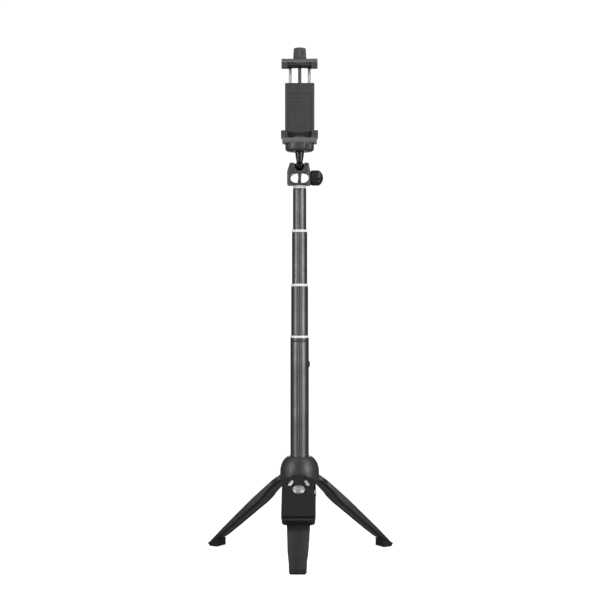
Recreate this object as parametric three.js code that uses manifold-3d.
// Telescopic selfie stick on a folding three-leg stand, with a clip-on remote, a ball head and a
// screw-adjusted phone clamp. Millimetres, +Z up.
// The origin is on the floor at the centre of the footprint box; the pole stands at y = POLE_Y.
// Pieces are drawn about the pole axis, with the soles at SOLE_Z, and moved into place by put().
// The remote and the front leg face -Y; +X is right.
import * as THREE from 'three';
import { mergeVertices } from 'three/addons/utils/BufferGeometryUtils.js';
import Module from 'manifold-3d';

const wasm = await Module();
wasm.setup();

// ---- driving dimensions --------------------------------------------------------------------
const POLE_Y = 24.846; // pole axis behind the centre of the footprint
const SOLE_Z = 1.5; // sole plane in the drawing heights
const GAP = 0.3; // clearance between neighbouring pieces

// legs: folded they hang straight down; the rest pose swings them out
const LEG_AZIMUTHS = { front: 0, left: -120, right: 120 }; // degrees about Z from the front
const LEG_OPEN = 48; // degrees from vertical
const PIVOT_R = 12; // leg hinge axis, distance from the pole axis
const PIVOT_Z = 84.5; // leg hinge axis height
const LEG_FACE = 8; // outer leg face from the hinge axis
const LEG_CROWN_R = 60; // gentle crown across the outer leg face
const KNUCKLE_R = 5;
const NECK_HALF = 8; // half width of the leg knuckle and neck
const PIN_R = 1.5;
const PIN_HALF = 12.4; // half length of a hinge pin

// leg slots in the hub
const SLOT_HALF = 8.4;
const SHELL_SLOT_TOP = 87.4;
const CORE_SLOT_TOP = 91.3;

// pole sections from the widest up: radii, heights at rest, depth of the front groove,
// the ring on the top end, and the flange radius of the bush in the bottom end
const TUBES = [
  {
    name: 'tube_4', outer: 9.65, inner: 9.2, z0: 93.3, z1: 228.5, groove: 0.2,
    ring: { outer: 9.85, height: 2.3, look: 'white' },
  },
  {
    name: 'tube_3', outer: 8.9, inner: 8.3, z0: 159, z1: 282.5, groove: 0.3,
    ring: { outer: 9.1, height: 2.6, look: 'white' }, flange: 9,
  },
  {
    name: 'tube_2', outer: 8, inner: 7.3, z0: 220.6, z1: 339.3, groove: 0.3,
    ring: { outer: 8.2, height: 2.5, look: 'white' }, flange: 8.15,
  },
  {
    name: 'tube_1', outer: 7, inner: 6.2, z0: 271.6, z1: 385.1, groove: 0.3,
    ring: { outer: 6.7, height: 3.2, look: 'pale' }, flange: 7.15,
  },
];
const [WIDE_TUBE] = TUBES;
const THIN_TUBE = TUBES[3];
const GROOVE_HALF = 1.3; // half width of the groove at the tube surface
const GROOVE_FLOOR_HALF = GROOVE_HALF - 0.25;
const RING_LIFT = 0.2; // ring above the tube end
const RIVET_Z = 201.2;

// ball head
const BALL_Z = 407.9;
const BALL_R = 5.8;
const HEAD_Z0 = 388.9;
const HEAD_Z1 = 411.6;
const HEAD_KNOB_Z = 396.4;
const STEM_BORE_Z0 = 415.4;

// phone clamp
const WHEEL_Z0 = 424;
const WHEEL_Z1 = 432.4;
const WHEEL_R = 14.85;
const STUD_R = 3.17; // quarter-inch camera stud
const BASE_Z0 = WHEEL_Z1 + GAP; // lower jaw plate
const BASE_Z1 = 438.2;
const UPPER_Z0 = 513.8; // upper jaw plate
const UPPER_Z1 = 520.6;
const PHONE_Z0 = 445.2; // lower pad face
const PHONE_Z1 = 511.4; // upper pad face
const JAW_FRONT = -8;
const LIP_BACK = JAW_FRONT + 2; // back of the lips along the jaw fronts
const COLUMN_Y0 = 4.2;
const COLUMN_Y1 = 11.2;
const PAD_Y0 = LIP_BACK + GAP;
const PAD_Y1 = COLUMN_Y0 - GAP;
const SCREW_Y = 7.5; // screws and guide rods, behind the pole axis
const INSERT = { inner: 3.5, outer: 4.6, z0: 432.9, z1: 437.1 };
const ROD = { x: 10, radius: 1.5, z0: 451.5, z1: 518.7 };
const LEAD_SCREW = { radius: 2, z0: 451.5, z1: 530 };
const COLUMN_SCREW = { x: 5.5, radius: 1.4, headRadius: 2.8, z0: 432.95, z1: 446.8 };
const WASHER_Z0 = UPPER_Z1 + GAP;
const WASHER_Z1 = WASHER_Z0 + 0.8;
const KNOB_Z0 = WASHER_Z1 + GAP;
const KNOB_Z1 = 534;

// remote, in leg coordinates: s runs down the leg from its hinge, d outward from it
const REMOTE_HALF = 17.3;
const REMOTE_S0 = 14.2;
const REMOTE_S1 = 67.2;
const REMOTE_ARCH = 31; // radius of the arched top edge
const REMOTE_WALL = 1.5;
const REMOTE_BACK_D = 10.3;
const REMOTE_SEAM_D = 13.9;
const REMOTE_FACE_D = 18;
const SHUTTER = { halfWidth: 5.1, halfHeight: 4.1, s: 32.8 };
const SHUTTER_RING_GROW = GAP + 0.9; // ring outer edge beyond the button
const ZOOM = { x: 8.2, s: 24.3, length: 8, width: 3.4, tilt: 27 };

// ---- finishes ------------------------------------------------------------------------------
const LOOKS = {
  soft: { color: 0x2a2a2b, roughness: 0.62, metalness: 0 },
  gloss: { color: 0x141416, roughness: 0.22, metalness: 0 },
  tube: { color: 0x3c3c3f, roughness: 0.38, metalness: 0.85 },
  white: { color: 0xf2f2f0, roughness: 0.45, metalness: 0 },
  silver: { color: 0xc9cbce, roughness: 0.25, metalness: 0.9 },
  steel: { color: 0xa9acb0, roughness: 0.3, metalness: 1 },
  brass: { color: 0xb79a52, roughness: 0.35, metalness: 1 },
  rubber: { color: 0x17181a, roughness: 0.88, metalness: 0 },
  grey: { color: 0x55565a, roughness: 0.55, metalness: 0 },
  pale: { color: 0xb5b6b8, roughness: 0.5, metalness: 0 },
  board: { color: 0x1f4a2c, roughness: 0.6, metalness: 0 },
};

// ---- meshes and solids ---------------------------------------------------------------------
// welds the vertices, drops collapsed triangles and turns the faces outward
function tidy(source) {
  const bare = source.clone();
  bare.deleteAttribute('normal');
  bare.deleteAttribute('uv');
  const welded = mergeVertices(bare, 1e-4);
  const { position } = welded.attributes;
  const old = welded.index.array;
  const kept = [];
  const corners = [new THREE.Vector3(), new THREE.Vector3(), new THREE.Vector3()];
  let volume = 0;
  for (let i = 0; i < old.length; i += 3) {
    const triangle = [old[i], old[i + 1], old[i + 2]];
    if (new Set(triangle).size < 3) continue;
    const [a, b, c] = corners.map((v, k) => v.fromBufferAttribute(position, triangle[k]));
    volume += a.dot(b.cross(c)) / 6;
    kept.push(...triangle);
  }
  if (volume < 0) {
    for (let i = 0; i < kept.length; i += 3) [kept[i], kept[i + 1]] = [kept[i + 1], kept[i]];
  }
  welded.setIndex(kept);
  return welded;
}

// geometry, or a solid passed through, -> solid
function solid(source) {
  if (source.getMesh) return source;
  const mesh = tidy(source);
  return new wasm.Manifold(
    new wasm.Mesh({
      numProp: 3,
      vertProperties: new Float32Array(mesh.attributes.position.array),
      triVerts: new Uint32Array(mesh.index.array),
    }),
  );
}

// solid, or a geometry passed through, -> geometry
function geometry(source) {
  if (!source.getMesh) return source;
  const { vertProperties, triVerts } = source.getMesh();
  const result = new THREE.BufferGeometry();
  result.setAttribute('position', new THREE.BufferAttribute(new Float32Array(vertProperties), 3));
  result.setIndex(new THREE.BufferAttribute(new Uint32Array(triVerts), 1));
  return result;
}

const cut = (body, ...tools) => tools.reduce((sum, t) => sum.subtract(solid(t)), solid(body));
const join = (body, ...others) => others.reduce((sum, t) => sum.add(solid(t)), solid(body));
const both = (body, ...others) => others.reduce((sum, t) => sum.intersect(solid(t)), solid(body));

const group = new THREE.Group();
group.name = 'selfie_stick';

function put(name, source, look) {
  const placedMesh = source.getMesh ? geometry(source) : tidy(source);
  placedMesh.translate(0, POLE_Y, -SOLE_Z);
  placedMesh.computeVertexNormals();
  const mesh = new THREE.Mesh(placedMesh, new THREE.MeshStandardMaterial(LOOKS[look]));
  mesh.name = name;
  group.add(mesh);
}

// ---- outlines ------------------------------------------------------------------------------
// steps + 1 points along a circular or elliptical arc
function arc(radius, from, to, steps, cx = 0, cy = 0, radiusY = radius) {
  return Array.from({ length: steps + 1 }, (_, i) => {
    const t = from + ((to - from) * i) / steps;
    return [cx + radius * Math.cos(t), cy + radiusY * Math.sin(t)];
  });
}

const circle = (radius, n, cx = 0, cy = 0, phase = 0) =>
  arc(radius, phase, phase + 2 * Math.PI, n, cx, cy).slice(0, -1);

// corner radii run counter-clockwise from (x0, y0)
function roundedRect(x0, x1, y0, y1, [r0, r1, r2, r3], steps = 3) {
  return [
    [x0 + r0, y0 + r0, Math.PI, r0],
    [x1 - r1, y0 + r1, 1.5 * Math.PI, r1],
    [x1 - r2, y1 - r2, 0, r2],
    [x0 + r3, y1 - r3, 0.5 * Math.PI, r3],
  ].flatMap(([cx, cy, from, radius]) =>
    radius === 0 ? [[cx, cy]] : arc(radius, from, from + Math.PI / 2, steps, cx, cy),
  );
}

// ---- primitives ----------------------------------------------------------------------------
function placed(source, xAxis, yAxis, zAxis, at) {
  const axes = [xAxis, yAxis, zAxis].map((axis) => new THREE.Vector3(...axis));
  return source.applyMatrix4(new THREE.Matrix4().makeBasis(...axes).setPosition(...at));
}

function extruded(points, depth, holes = []) {
  const vectors = (outline) => outline.map(([x, y]) => new THREE.Vector2(x, y));
  const shape = new THREE.Shape(vectors(points));
  shape.holes = holes.map((hole) => new THREE.Path(vectors(hole)));
  return new THREE.ExtrudeGeometry(shape, { depth, bevelEnabled: false });
}

// prisms along each axis; their points are (x,y), (x,z) and (y,z)
const prismZ = (points, z0, z1, holes) => extruded(points, z1 - z0, holes).translate(0, 0, z0);
const prismY = (points, y0, y1, holes) =>
  placed(extruded(points, y1 - y0, holes), [1, 0, 0], [0, 0, 1], [0, -1, 0], [0, y1, 0]);
const prismX = (points, x0, x1) =>
  placed(extruded(points, x1 - x0), [0, 1, 0], [0, 0, 1], [1, 0, 0], [x0, 0, 0]);

const box = (x0, x1, y0, y1, z0, z1) =>
  new THREE.BoxGeometry(x1 - x0, y1 - y0, z1 - z0).translate(
    (x0 + x1) / 2,
    (y0 + y1) / 2,
    (z0 + z1) / 2,
  );
const cylZ = (radius, z0, z1, n, x = 0, y = 0) => prismZ(circle(radius, n, x, y), z0, z1);
const cylX = (radius, x0, x1, n, y, z) => prismX(circle(radius, n, y, z), x0, x1);
const ballAt = (radius, n) =>
  new THREE.SphereGeometry(radius, n, 12).rotateX(Math.PI / 2).translate(0, 0, BALL_Z);

// profile of (radius, height) turned about Z
const latheZ = (profile, n) =>
  new THREE.LatheGeometry(profile.map(([r, z]) => new THREE.Vector2(r, z)), n).rotateX(
    Math.PI / 2,
  );

// profile of (radius, x) turned about an axis along X at height z
function latheX(profile, n, z) {
  const turned = new THREE.LatheGeometry(profile.map(([r, x]) => new THREE.Vector2(r, x)), n);
  return placed(turned, [0, 0, -1], [1, 0, 0], [0, -1, 0], [0, 0, z]);
}

const sleeve = (inner, outer, z0, z1) =>
  latheZ([[inner, z0], [outer, z0], [outer, z1], [inner, z1], [inner, z0]], 20);

// a piece and its mirror image across x = 0
const bothSides = (source) => [source, source.clone().scale(-1, 1, 1)];

// ---- leg frames ----------------------------------------------------------------------------
const radians = THREE.MathUtils.degToRad;
const opening = new THREE.Matrix4()
  .makeTranslation(0, -PIVOT_R, PIVOT_Z)
  .multiply(new THREE.Matrix4().makeRotationX(-radians(LEG_OPEN)))
  .multiply(new THREE.Matrix4().makeTranslation(0, PIVOT_R, -PIVOT_Z));
// folded front leg -> open front leg
const openUp = (source) => geometry(source).applyMatrix4(opening);
// front leg -> leg at another azimuth
const swung = (source, degrees) => source.clone().rotateZ(radians(degrees));
const onEachLeg = (source) => Object.values(LEG_AZIMUTHS).map((angle) => swung(source, angle));

// leg coordinates -> folded front leg
const zOf = (s) => PIVOT_Z - s;
const yOf = (d) => -(PIVOT_R + d);
const slab = (points, d0, d1, holes) => prismY(points, yOf(d1), yOf(d0), holes);
const legBox = (x0, x1, d0, d1, s0, s1) => box(x0, x1, yOf(d1), yOf(d0), zOf(s1), zOf(s0));
const legSide = (rows, halfWidth) =>
  prismX(rows.map(([d, s]) => [yOf(d), zOf(s)]), -halfWidth, halfWidth);

// ---- hub -----------------------------------------------------------------------------------
const legSlots = (top) => onEachLeg(box(-SLOT_HALF, SLOT_HALF, -26, -5.5, 70, top));

// radius, height
const SHELL_PROFILE = [
  [18.5, 79], [20, 79], [20.35, 81], [20.4, 88.8], [20.1, 91.9], [19.1, 96.1],
  [16.9, 100.2], [13.2, 104], [12.2, 104.5], [10, 104.5], [10, 102.6], [13.4, 101.6],
  [16.2, 98], [17.9, 94], [18.5, 88], [18.5, 79],
];
const CORE_PROFILE = [
  [1.8, 80], [17.8, 80], [17.8, 91.5], [16, 95.3], [11.6, 98], [11.6, 101.6],
  [9.95, 101.6], [9.95, 93], [1.8, 93], [1.8, 80],
];
const HUB_SCREW_PROFILE = [
  [0, 77.2], [3, 77.2], [3.2, 77.6], [3.2, 79.7], [1.5, 79.7], [1.5, 101], [0, 101],
];

function hubCore() {
  const pinHoles = onEachLeg(cylX(PIN_R + GAP, -15, 15, 14, -PIVOT_R, PIVOT_Z));
  return cut(latheZ(CORE_PROFILE, 30), ...legSlots(CORE_SLOT_TOP), ...pinHoles);
}

put('hub_shell', cut(latheZ(SHELL_PROFILE, 32), ...legSlots(SHELL_SLOT_TOP)), 'soft');
put('hub_core', hubCore(), 'soft');
for (const [name, azimuth] of Object.entries(LEG_AZIMUTHS)) {
  const pin = cylX(PIN_R, -PIN_HALF, PIN_HALF, 12, -PIVOT_R, PIVOT_Z);
  put(`hinge_pin_${name}`, swung(pin, azimuth), 'steel');
}
put('tube_plug', sleeve(1.8, 8.9, WIDE_TUBE.z0 + GAP, 103.2), 'grey');
put('hub_screw', latheZ(HUB_SCREW_PROFILE, 14), 'steel');

// ---- pole ----------------------------------------------------------------------------------
// tube with a shallow groove down the front
function tube({ outer, inner, z0, z1, groove }) {
  const halfAngle = Math.asin(GROOVE_HALF / outer);
  const wall = arc(outer, -Math.PI / 2 + halfAngle, 1.5 * Math.PI - halfAngle, 32);
  const floorRadius = outer - groove;
  const floor = [-1, -0.4, 0.4, 1].map((k) => {
    const x = k * GROOVE_FLOOR_HALF;
    return [x, -Math.sqrt(floorRadius ** 2 - x ** 2)];
  });
  return prismZ([...wall, ...floor], z0, z1, [circle(inner, 30)]);
}

// ring on the tube end, with a chamfered outer top edge
function endRing({ inner, z1: tubeTop, ring: { outer, height } }) {
  const z0 = tubeTop + RING_LIFT;
  const z1 = z0 + height;
  return latheZ(
    [[inner, z0], [outer, z0], [outer, z1 - 0.3], [outer - 0.25, z1], [inner, z1], [inner, z0]],
    28,
  );
}

// end bush: spigot inside the tube end, flange below it running in the next tube
function bush({ inner, flange, z0 }) {
  const bore = inner - 2;
  const spigot = inner - GAP;
  const bottom = z0 - 3;
  const top = z0 + 4;
  return latheZ(
    [
      [bore, bottom], [flange, bottom], [flange, z0 - GAP], [spigot, z0 - GAP],
      [spigot, top], [bore, top], [bore, bottom],
    ],
    20,
  );
}

for (const section of TUBES) {
  put(section.name, tube(section), 'tube');
  put(`${section.name}_ring`, endRing(section), section.ring.look);
  if (section.flange) put(`${section.name}_bush`, bush(section), 'grey');
}

// low domed rivet on the right side of the widest tube; radius, x
const RIVET_PROFILE = [[0, 8.6], [3.4, 8.6], [3.4, 9.9], [3, 10.4], [1.9, 10.75], [0, 10.85]];
put(
  'tube_stop_rivet',
  cut(latheX(RIVET_PROFILE, 18, RIVET_Z), cylZ(WIDE_TUBE.outer + 0.1, 195, 208, 72)),
  'soft',
);

// ---- legs ----------------------------------------------------------------------------------
// s, half width
const LEG_PLAN = [
  [10, 8], [13, 9.4], [18, 12], [24, 12.35], [50, 12.4], [71, 11.6], [88, 10.9],
  [101, 10.3], [113, 9.2], [119.5, 8.7], [128, 8],
];
const FOOT_PLAN = [
  [100, 9.6], [113, 9.2], [119.5, 8.7], [126.3, 7.95], [127.6, 7.4], [128.5, 6.5],
  [129, 5.4], [129.2, 4.2],
];
// side of the blade as d, s: a sloping shoulder by the hub, a belly on the inner face and a
// slanting end on the rubber foot
const BLADE_SIDE = [
  [6.3, 10], [6.9, 14], [7.2, 25], [8.6, 47], [8.6, 96], [7.6, 125.8], [2.9, 113.2],
  [2.4, 107.7], [1.5, 95], [0.8, 82.4], [0.1, 70], [-0.5, 57.3], [-1.3, 46], [-1.1, 38],
  [0.2, 30], [0.3, 22], [0.3, 10],
];
// d, s
const NECK_SIDE = [[5, 0], [5.3, 3], [6, 8], [6.9, 14], [0.3, 14], [-1.5, 8], [-4, 3]];
// side of the open foot: distance from the pole axis, height above the sole
const FOOT_SIDE = [
  [99.2, 0], [110.2, 0], [111.7, 0.8], [112, 1.9], [110.75, 4.2], [98.7, 8.85],
  [98.2, 8.2], [98, 4], [98.3, 0.9],
];

function planOutline(rows) {
  const right = rows.map(([s, halfWidth]) => [halfWidth, zOf(s)]);
  const left = rows.map(([s, halfWidth]) => [-halfWidth, zOf(s)]).reverse();
  return [...right, ...left];
}

// large cylinder whose front is the crowned outer leg face
function crown(grow = 0) {
  const axisY = yOf(LEG_FACE) + LEG_CROWN_R;
  const outline = circle(LEG_CROWN_R + grow, 90, 0, axisY, radians(1));
  return prismZ(outline, zOf(150), zOf(-20));
}

function foldedLeg() {
  const blade = both(legSide(BLADE_SIDE, 20), prismY(planOutline(LEG_PLAN), -30, 0));
  const neck = legSide(NECK_SIDE, NECK_HALF);
  const knuckle = cylX(KNUCKLE_R, -NECK_HALF, NECK_HALF, 20, -PIVOT_R, PIVOT_Z);
  const pinHole = cylX(PIN_R + GAP, -20, 20, 12, -PIVOT_R, PIVOT_Z);
  return cut(both(join(blade, neck, knuckle), crown()), pinHole);
}

// rubber foot, drawn standing on the sole plane, as wide as the blade, with rounded corners
function footPad() {
  return geometry(
    both(
      prismX(FOOT_SIDE.map(([r, height]) => [-r, SOLE_Z + height]), -12, 12),
      openUp(prismY(planOutline(FOOT_PLAN), -40, 10)),
      prismZ(roundedRect(-9.6, 9.6, -115, -98, [0, 0, 4, 4], 4), -5, 20),
      openUp(crown()),
    ),
  );
}

const frontLeg = openUp(foldedLeg());
const frontFoot = footPad();
for (const [name, azimuth] of Object.entries(LEG_AZIMUTHS)) {
  put(`leg_${name}`, swung(frontLeg, azimuth), 'soft');
  put(`foot_pad_${name}`, swung(frontFoot, azimuth), 'rubber');
}

// ---- remote on the front leg ---------------------------------------------------------------
// arched top edge, straight sides and rounded bottom corners
function remoteOutline(inset) {
  const halfWidth = REMOTE_HALF - inset;
  const archRadius = REMOTE_ARCH - inset;
  const from = Math.acos(halfWidth / archRadius);
  const corner = Math.max(2 - inset, 0.4);
  const cornerX = halfWidth - corner;
  const cornerZ = zOf(REMOTE_S1 - inset) + corner;
  return [
    ...arc(archRadius, from, Math.PI - from, 12, 0, zOf(REMOTE_S0 + REMOTE_ARCH)),
    ...arc(corner, Math.PI, 1.5 * Math.PI, 2, -cornerX, cornerZ),
    ...arc(corner, 1.5 * Math.PI, 2 * Math.PI, 2, cornerX, cornerZ),
  ];
}

function shutterOutline(grow = 0) {
  const { halfWidth, halfHeight, s } = SHUTTER;
  const turn = 2 * Math.PI;
  return arc(halfWidth + grow, 0, turn, 24, 0, zOf(s), halfHeight + grow).slice(0, -1);
}

// tilted pill on the left (-1) or right (1)
function zoomOutline(side, grow = 0) {
  const radius = ZOOM.width / 2 + grow;
  const reach = (ZOOM.length - ZOOM.width) / 2;
  const tilt = side * radians(ZOOM.tilt);
  const cos = Math.cos(tilt);
  const sin = Math.sin(tilt);
  return [
    ...arc(radius, 0, Math.PI, 5, 0, reach),
    ...arc(radius, Math.PI, 2 * Math.PI, 5, 0, -reach),
  ].map(([x, z]) => [side * ZOOM.x + x * cos - z * sin, zOf(ZOOM.s) + x * sin + z * cos]);
}

const switchSlot = () => legBox(15, 19, 12.8, 19, 28.6, 38.2);

const remoteFace = () =>
  cut(
    slab(remoteOutline(0), REMOTE_SEAM_D + GAP, REMOTE_FACE_D),
    slab(remoteOutline(REMOTE_WALL), 13, 16.3),
    slab(shutterOutline(SHUTTER_RING_GROW + GAP), 15, 19),
    slab(zoomOutline(-1, GAP), 15, 19),
    slab(zoomOutline(1, GAP), 15, 19),
    switchSlot(),
  );

const remoteBack = () =>
  cut(
    slab(remoteOutline(0), REMOTE_BACK_D, REMOTE_SEAM_D),
    slab(remoteOutline(REMOTE_WALL), REMOTE_BACK_D + REMOTE_WALL, 15),
    switchSlot(),
  );

const shutterRing = () =>
  slab(shutterOutline(SHUTTER_RING_GROW), 16.4, 18.4, [shutterOutline(GAP)]);

// saddle on the leg face with an end wall below the remote
function remoteCradle() {
  const halfWidth = 16.9;
  const topHalf = 12.5;
  const shoulderZ = zOf(26);
  const topZ = zOf(19.5);
  const saddle = legBox(-20, 20, 7.8, REMOTE_BACK_D - GAP, 10, 72);
  const endWall = legBox(-20, 20, 7.8, 15.5, 67.6, 72);
  const bottomCorners = roundedRect(
    -halfWidth, halfWidth, zOf(70.8), shoulderZ, [4, 4, 0, 0],
  ).slice(0, 8);
  const outline = [
    [-halfWidth, shoulderZ],
    ...bottomCorners,
    [halfWidth, shoulderZ], [topHalf, topZ], [-topHalf, topZ],
  ];
  return cut(both(join(saddle, endWall), prismY(outline, -40, 0)), crown(GAP));
}

put('remote_face', openUp(remoteFace()), 'soft');
put('remote_back', openUp(remoteBack()), 'soft');
put('remote_board', openUp(slab(remoteOutline(1.9), 15.1, 15.9)), 'board');
put('remote_cell', openUp(slab(circle(10, 24, 0, zOf(49)), 12.1, 14.8)), 'steel');
put('shutter_ring', openUp(shutterRing()), 'silver');
put('shutter_button', openUp(slab(shutterOutline(), 16.7, 18.7)), 'gloss');
put('zoom_out_button', openUp(slab(zoomOutline(-1), 16.7, 18.6)), 'silver');
put('zoom_in_button', openUp(slab(zoomOutline(1), 16.7, 18.6)), 'silver');
put('power_switch', openUp(legBox(15.6, 17.7, 13.1, 17.4, 33, 37.8)), 'pale');
put('remote_cradle', openUp(remoteCradle()), 'soft');

// ---- ball head -----------------------------------------------------------------------------
// x, z
const HEAD_FRONT = [
  [-12.4, HEAD_Z0], [11, HEAD_Z0], [11.4, HEAD_Z0 + 0.5], [11.4, 402.6], [10, 410.4],
  [9.2, HEAD_Z1], [-9.6, HEAD_Z1], [-10.5, 410.6], [-12.9, 402.8], [-12.9, HEAD_Z0 + 0.6],
];
// oval opening through the housing, split by a waisted upright bar
const EYE = { halfWidth: 9.4, halfHeight: 5.25, z: 396.1, barReach: 0.975 };

// right half of the eye; rise is the height as a fraction of the oval's half height
function eyeOutline() {
  const { halfWidth, halfHeight, z, barReach } = EYE;
  const barHalf = (rise) => 1.1 + 0.75 * rise ** 2;
  const outline = [];
  for (let i = 0; i <= 8; i++) {
    const rise = barReach * (-1 + (2 * i) / 8);
    outline.push([barHalf(rise), z + rise * halfHeight]);
  }
  const start = Math.asin(barReach);
  for (let i = 1; i < 12; i++) {
    const t = start - (2 * start * i) / 12;
    const rise = Math.sin(t);
    const x = halfWidth * Math.cos(t);
    // keeps clear of the bar near the tips
    if (x > barHalf(rise) + 0.2) outline.push([x, z + rise * halfHeight]);
  }
  return outline;
}

// conical opening above the ball
function socketMouth() {
  const slope = Math.tan(radians(50));
  return latheZ(
    [[0, BALL_Z], [1.2 * slope, BALL_Z + 1.2], [6 * slope, BALL_Z + 6], [0, BALL_Z + 6]],
    24,
  );
}

// round-bottomed notch in the front wall
function frontNotch() {
  const top = HEAD_Z1 + 1;
  const bottom = arc(4.9, Math.PI, 2 * Math.PI, 10, 0, BALL_Z);
  return prismY([...bottom, [5.4, top], [-5.4, top]], -15, 0);
}

function headHousing() {
  const plan = roundedRect(-13.5, 12, -10.5, 10.5, [4, 4, 4, 4]);
  const housing = cut(
    both(prismY(HEAD_FRONT, -12, 12), prismZ(plan, HEAD_Z0 - 1, HEAD_Z1 + 1)),
    ballAt(BALL_R + GAP, 18),
    socketMouth(),
    frontNotch(),
    ...bothSides(prismY(eyeOutline(), -15, 15)),
    cylX(2.3, 8.6, 14, 14, 0, HEAD_KNOB_Z),
  );
  const spigot = cylZ(THIN_TUBE.inner - GAP, 370, HEAD_Z0 + 0.5, 24);
  return join(housing, spigot);
}

// radius, x
const HEAD_KNOB_PROFILE = [
  [2.2, 11.8], [5.2, 11.8], [5.6, 12.6], [7.4, 12.9], [7.75, 13.4], [7.75, 20.2],
  [7.3, 21.8], [6, 23.3], [3.6, 24.3], [0, 24.7], [0, 20], [2.2, 20], [2.2, 11.8],
];
// radius, height
const STEM_TOP = WHEEL_Z0 - GAP;
const STEM_PROFILE = [
  [0, BALL_Z + 3], [3.2, BALL_Z + 3], [3.35, 414.4], [4, 419], [4.4, 422.6],
  [4.4, STEM_TOP], [0, STEM_TOP],
];
const STUD_PROFILE = [
  [0, 415.8], [1.9, 415.8], [1.9, WHEEL_Z0], [STUD_R, WHEEL_Z0], [STUD_R, 436.3],
  [STUD_R - 0.5, 436.8], [0, 436.8],
];
const WHEEL_PROFILE = [
  [3.5, WHEEL_Z0], [12, WHEEL_Z0], [14.3, WHEEL_Z0 + 1.2], [WHEEL_R, WHEEL_Z0 + 3.2],
  [WHEEL_R, WHEEL_Z1], [3.5, WHEEL_Z1], [3.5, WHEEL_Z0],
];

const ballStem = () =>
  cut(latheZ(STEM_PROFILE, 20), ballAt(BALL_R + GAP, 20), cylZ(2.2, STEM_BORE_Z0, 430, 14));

// wheel with a shallow flat recess in its right side
const lockWheel = () =>
  cut(
    latheZ(WHEEL_PROFILE, 30),
    box(WHEEL_R - 0.35, WHEEL_R + 1, -5, 5, WHEEL_Z0 + 3.6, WHEEL_Z1 - 0.8),
  );

put('head_housing', headHousing(), 'soft');
put('head_knob', latheX(HEAD_KNOB_PROFILE, 20, HEAD_KNOB_Z), 'soft');
put('head_knob_screw', cylX(1.9, 9.9, 19.7, 14, 0, HEAD_KNOB_Z), 'steel');
put('ball', ballAt(BALL_R, 20), 'gloss');
put('ball_stem', ballStem(), 'gloss');
put('camera_stud', latheZ(STUD_PROFILE, 20), 'steel');
put('lock_wheel', lockWheel(), 'soft');

// ---- clamp ---------------------------------------------------------------------------------
// right-hand front lips of the jaws: x, z
const LOWER_EAR = [
  [12.4, BASE_Z1 - 0.5], [18.2, BASE_Z1 - 0.5], [19.4, 440.6], [19.4, 445.2],
  [18.9, 445.7], [13.4, 445.7], [12.9, 444.9], [12.6, 441],
];
const UPPER_LIP = [
  [12.2, 514], [12.5, 511.6], [13.2, 510.3], [18.4, 509.8], [18.9, 510.3], [18.9, 514],
];

function lowerJaw() {
  const { x, radius, headRadius } = COLUMN_SCREW;
  const below = BASE_Z0 - 1;
  const hump = arc(6.6, 0, Math.PI, 12, 0, BASE_Z1 - 0.4, 1.7);
  const plan = roundedRect(-18.2, 18.2, JAW_FRONT, 12, [1.5, 1.5, 3, 3]);
  return cut(
    join(
      prismZ(plan, BASE_Z0, BASE_Z1),
      prismY(hump, JAW_FRONT, LIP_BACK),
      ...bothSides(prismY(LOWER_EAR, JAW_FRONT, LIP_BACK)),
      ...bothSides(box(17.9, 19.4, JAW_FRONT + 1, PAD_Y1, BASE_Z1 - 0.5, 444.8)),
    ),
    cylZ(INSERT.outer + GAP, below, INSERT.z1 + GAP, 20),
    ...bothSides(cylZ(radius + GAP, below, BASE_Z1 + 1, 12, x, SCREW_Y)),
    ...bothSides(cylZ(headRadius + GAP, below, 434.9, 14, x, SCREW_Y)),
  );
}

// pad seen from the front: flat shelves at both ends and a shallow arc between them that
// lies lower than the shelves by dip
function pad(halfWidth, backingZ, shelfZ, dip) {
  const face = Array.from({ length: 13 }, (_, i) => {
    const x = 12 - 2 * i;
    return [x, shelfZ - dip * (1 - (x / 12) ** 2)];
  });
  const outline = [
    [halfWidth, shelfZ],
    ...face,
    [-halfWidth, shelfZ], [-halfWidth, backingZ], [halfWidth, backingZ],
  ];
  return prismY(outline, PAD_Y0, PAD_Y1);
}

const nutBlock = (grow = 0) =>
  box(
    -3.5 - grow, 3.5 + grow,
    SCREW_Y - 2.6 - grow, SCREW_Y + 2.6 + grow,
    490 - grow, 494 + grow,
  );

function guideColumn() {
  const boreZ0 = 438.9;
  const plan = roundedRect(-15.5, 15.5, COLUMN_Y0, COLUMN_Y1, [0.8, 0.8, 3, 3]);
  return cut(
    prismZ(plan, BASE_Z1 + GAP, 497),
    ...bothSides(cylZ(ROD.radius + 0.35, boreZ0, 500, 14, ROD.x, SCREW_Y)),
    cylZ(LEAD_SCREW.radius + 0.4, boreZ0, 500, 16, 0, SCREW_Y),
    nutBlock(GAP),
    ...bothSides(cylZ(COLUMN_SCREW.radius + GAP, 430, 447.2, 12, COLUMN_SCREW.x, SCREW_Y)),
  );
}

const columnNut = () =>
  cut(nutBlock(), cylZ(LEAD_SCREW.radius + GAP, 480, 500, 16, 0, SCREW_Y));

function columnScrew(x) {
  const { radius, headRadius, z0, z1 } = COLUMN_SCREW;
  const neckZ = 434.6;
  return latheZ(
    [[0, z0], [headRadius, z0], [headRadius, neckZ], [radius, neckZ], [radius, z1], [0, z1]],
    12,
  ).translate(x, SCREW_Y, 0);
}

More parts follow.
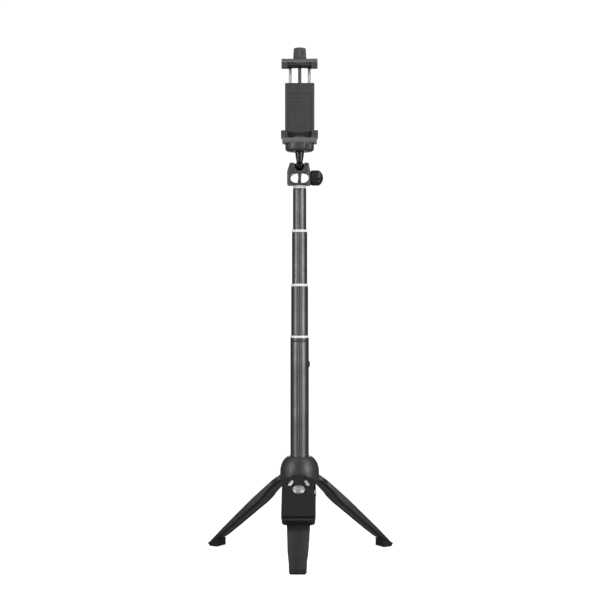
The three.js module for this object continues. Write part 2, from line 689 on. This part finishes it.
// jaw plate with an arch cut in its front face, lips below and upright grooves along the front
function upperJaw() {
  const archHalf = 12.4;
  const archTop = Array.from({ length: 9 }, (_, i) => {
    const x = -archHalf + (2 * archHalf * i) / 8;
    return [x, 512 + 2.4 * (1 - (x / archHalf) ** 2)];
  });
  const arch = [...archTop, [archHalf, 505], [-archHalf, 505]];
  const plan = roundedRect(-18.9, 18.9, JAW_FRONT, 14, [1.5, 1.5, 4, 4]);
  const frontGrooves = Array.from({ length: 9 }, (_, i) => {
    const x = (i - 4) * 3.6;
    return box(x - 0.5, x + 0.5, JAW_FRONT - 1, JAW_FRONT + 0.5, 518.8, 522);
  });
  return cut(
    join(
      cut(prismZ(plan, UPPER_Z0, UPPER_Z1), prismY(arch, JAW_FRONT - 1, JAW_FRONT + 1.2)),
      ...bothSides(prismY(UPPER_LIP, JAW_FRONT, LIP_BACK)),
      ...bothSides(box(17.6, 18.9, JAW_FRONT + 1, PAD_Y1, 511.8, 514)),
    ),
    cylZ(LEAD_SCREW.radius + 0.4, 505, 525, 16, 0, SCREW_Y),
    ...bothSides(cylZ(ROD.radius + GAP, 505, ROD.z1 + GAP, 14, ROD.x, SCREW_Y)),
    ...frontGrooves,
  );
}

const guideRod = (x) => cylZ(ROD.radius, ROD.z0, ROD.z1, 14, x, SCREW_Y);

// knurled knob, narrowing upward to a rounded top edge
function clampKnob() {
  const knurl = Array.from({ length: 36 }, (_, i) => {
    const t = (2 * Math.PI * i) / 36;
    const radius = i % 2 === 1 ? 6.35 : 6.7;
    return [radius * Math.cos(t), radius * Math.sin(t)];
  });
  const profile = [
    [0, KNOB_Z0], [6.75, KNOB_Z0], [6.3, 532.6], [5.7, 533.6], [4.8, KNOB_Z1], [0, KNOB_Z1],
  ];
  return cut(
    both(prismZ(knurl, KNOB_Z0, KNOB_Z1), latheZ(profile, 24)),
    cylZ(LEAD_SCREW.radius + GAP, 521, LEAD_SCREW.z1 + GAP, 16),
  ).translate([0, SCREW_Y, 0]);
}

put('lower_jaw', lowerJaw(), 'soft');
put('mount_insert', sleeve(INSERT.inner, INSERT.outer, INSERT.z0, INSERT.z1), 'brass');
put('lower_pad', pad(17.6, BASE_Z1 + GAP, PHONE_Z0, 1.8), 'rubber');
put('guide_column', guideColumn(), 'soft');
put('column_nut', columnNut(), 'brass');
put('column_screw_left', columnScrew(-COLUMN_SCREW.x), 'steel');
put('column_screw_right', columnScrew(COLUMN_SCREW.x), 'steel');
put('upper_jaw', upperJaw(), 'soft');
put('upper_pad', pad(17.3, UPPER_Z0 - GAP, PHONE_Z1, -0.9), 'rubber');
put('guide_rod_left', guideRod(-ROD.x), 'steel');
put('guide_rod_right', guideRod(ROD.x), 'steel');
put('knob_washer', sleeve(2.4, 5.6, WASHER_Z0, WASHER_Z1).translate(0, SCREW_Y, 0), 'steel');
put(
  'lead_screw',
  cylZ(LEAD_SCREW.radius, LEAD_SCREW.z0, LEAD_SCREW.z1, 16, 0, SCREW_Y),
  'steel',
);
put('clamp_knob', clampKnob(), 'grey');

export default group;
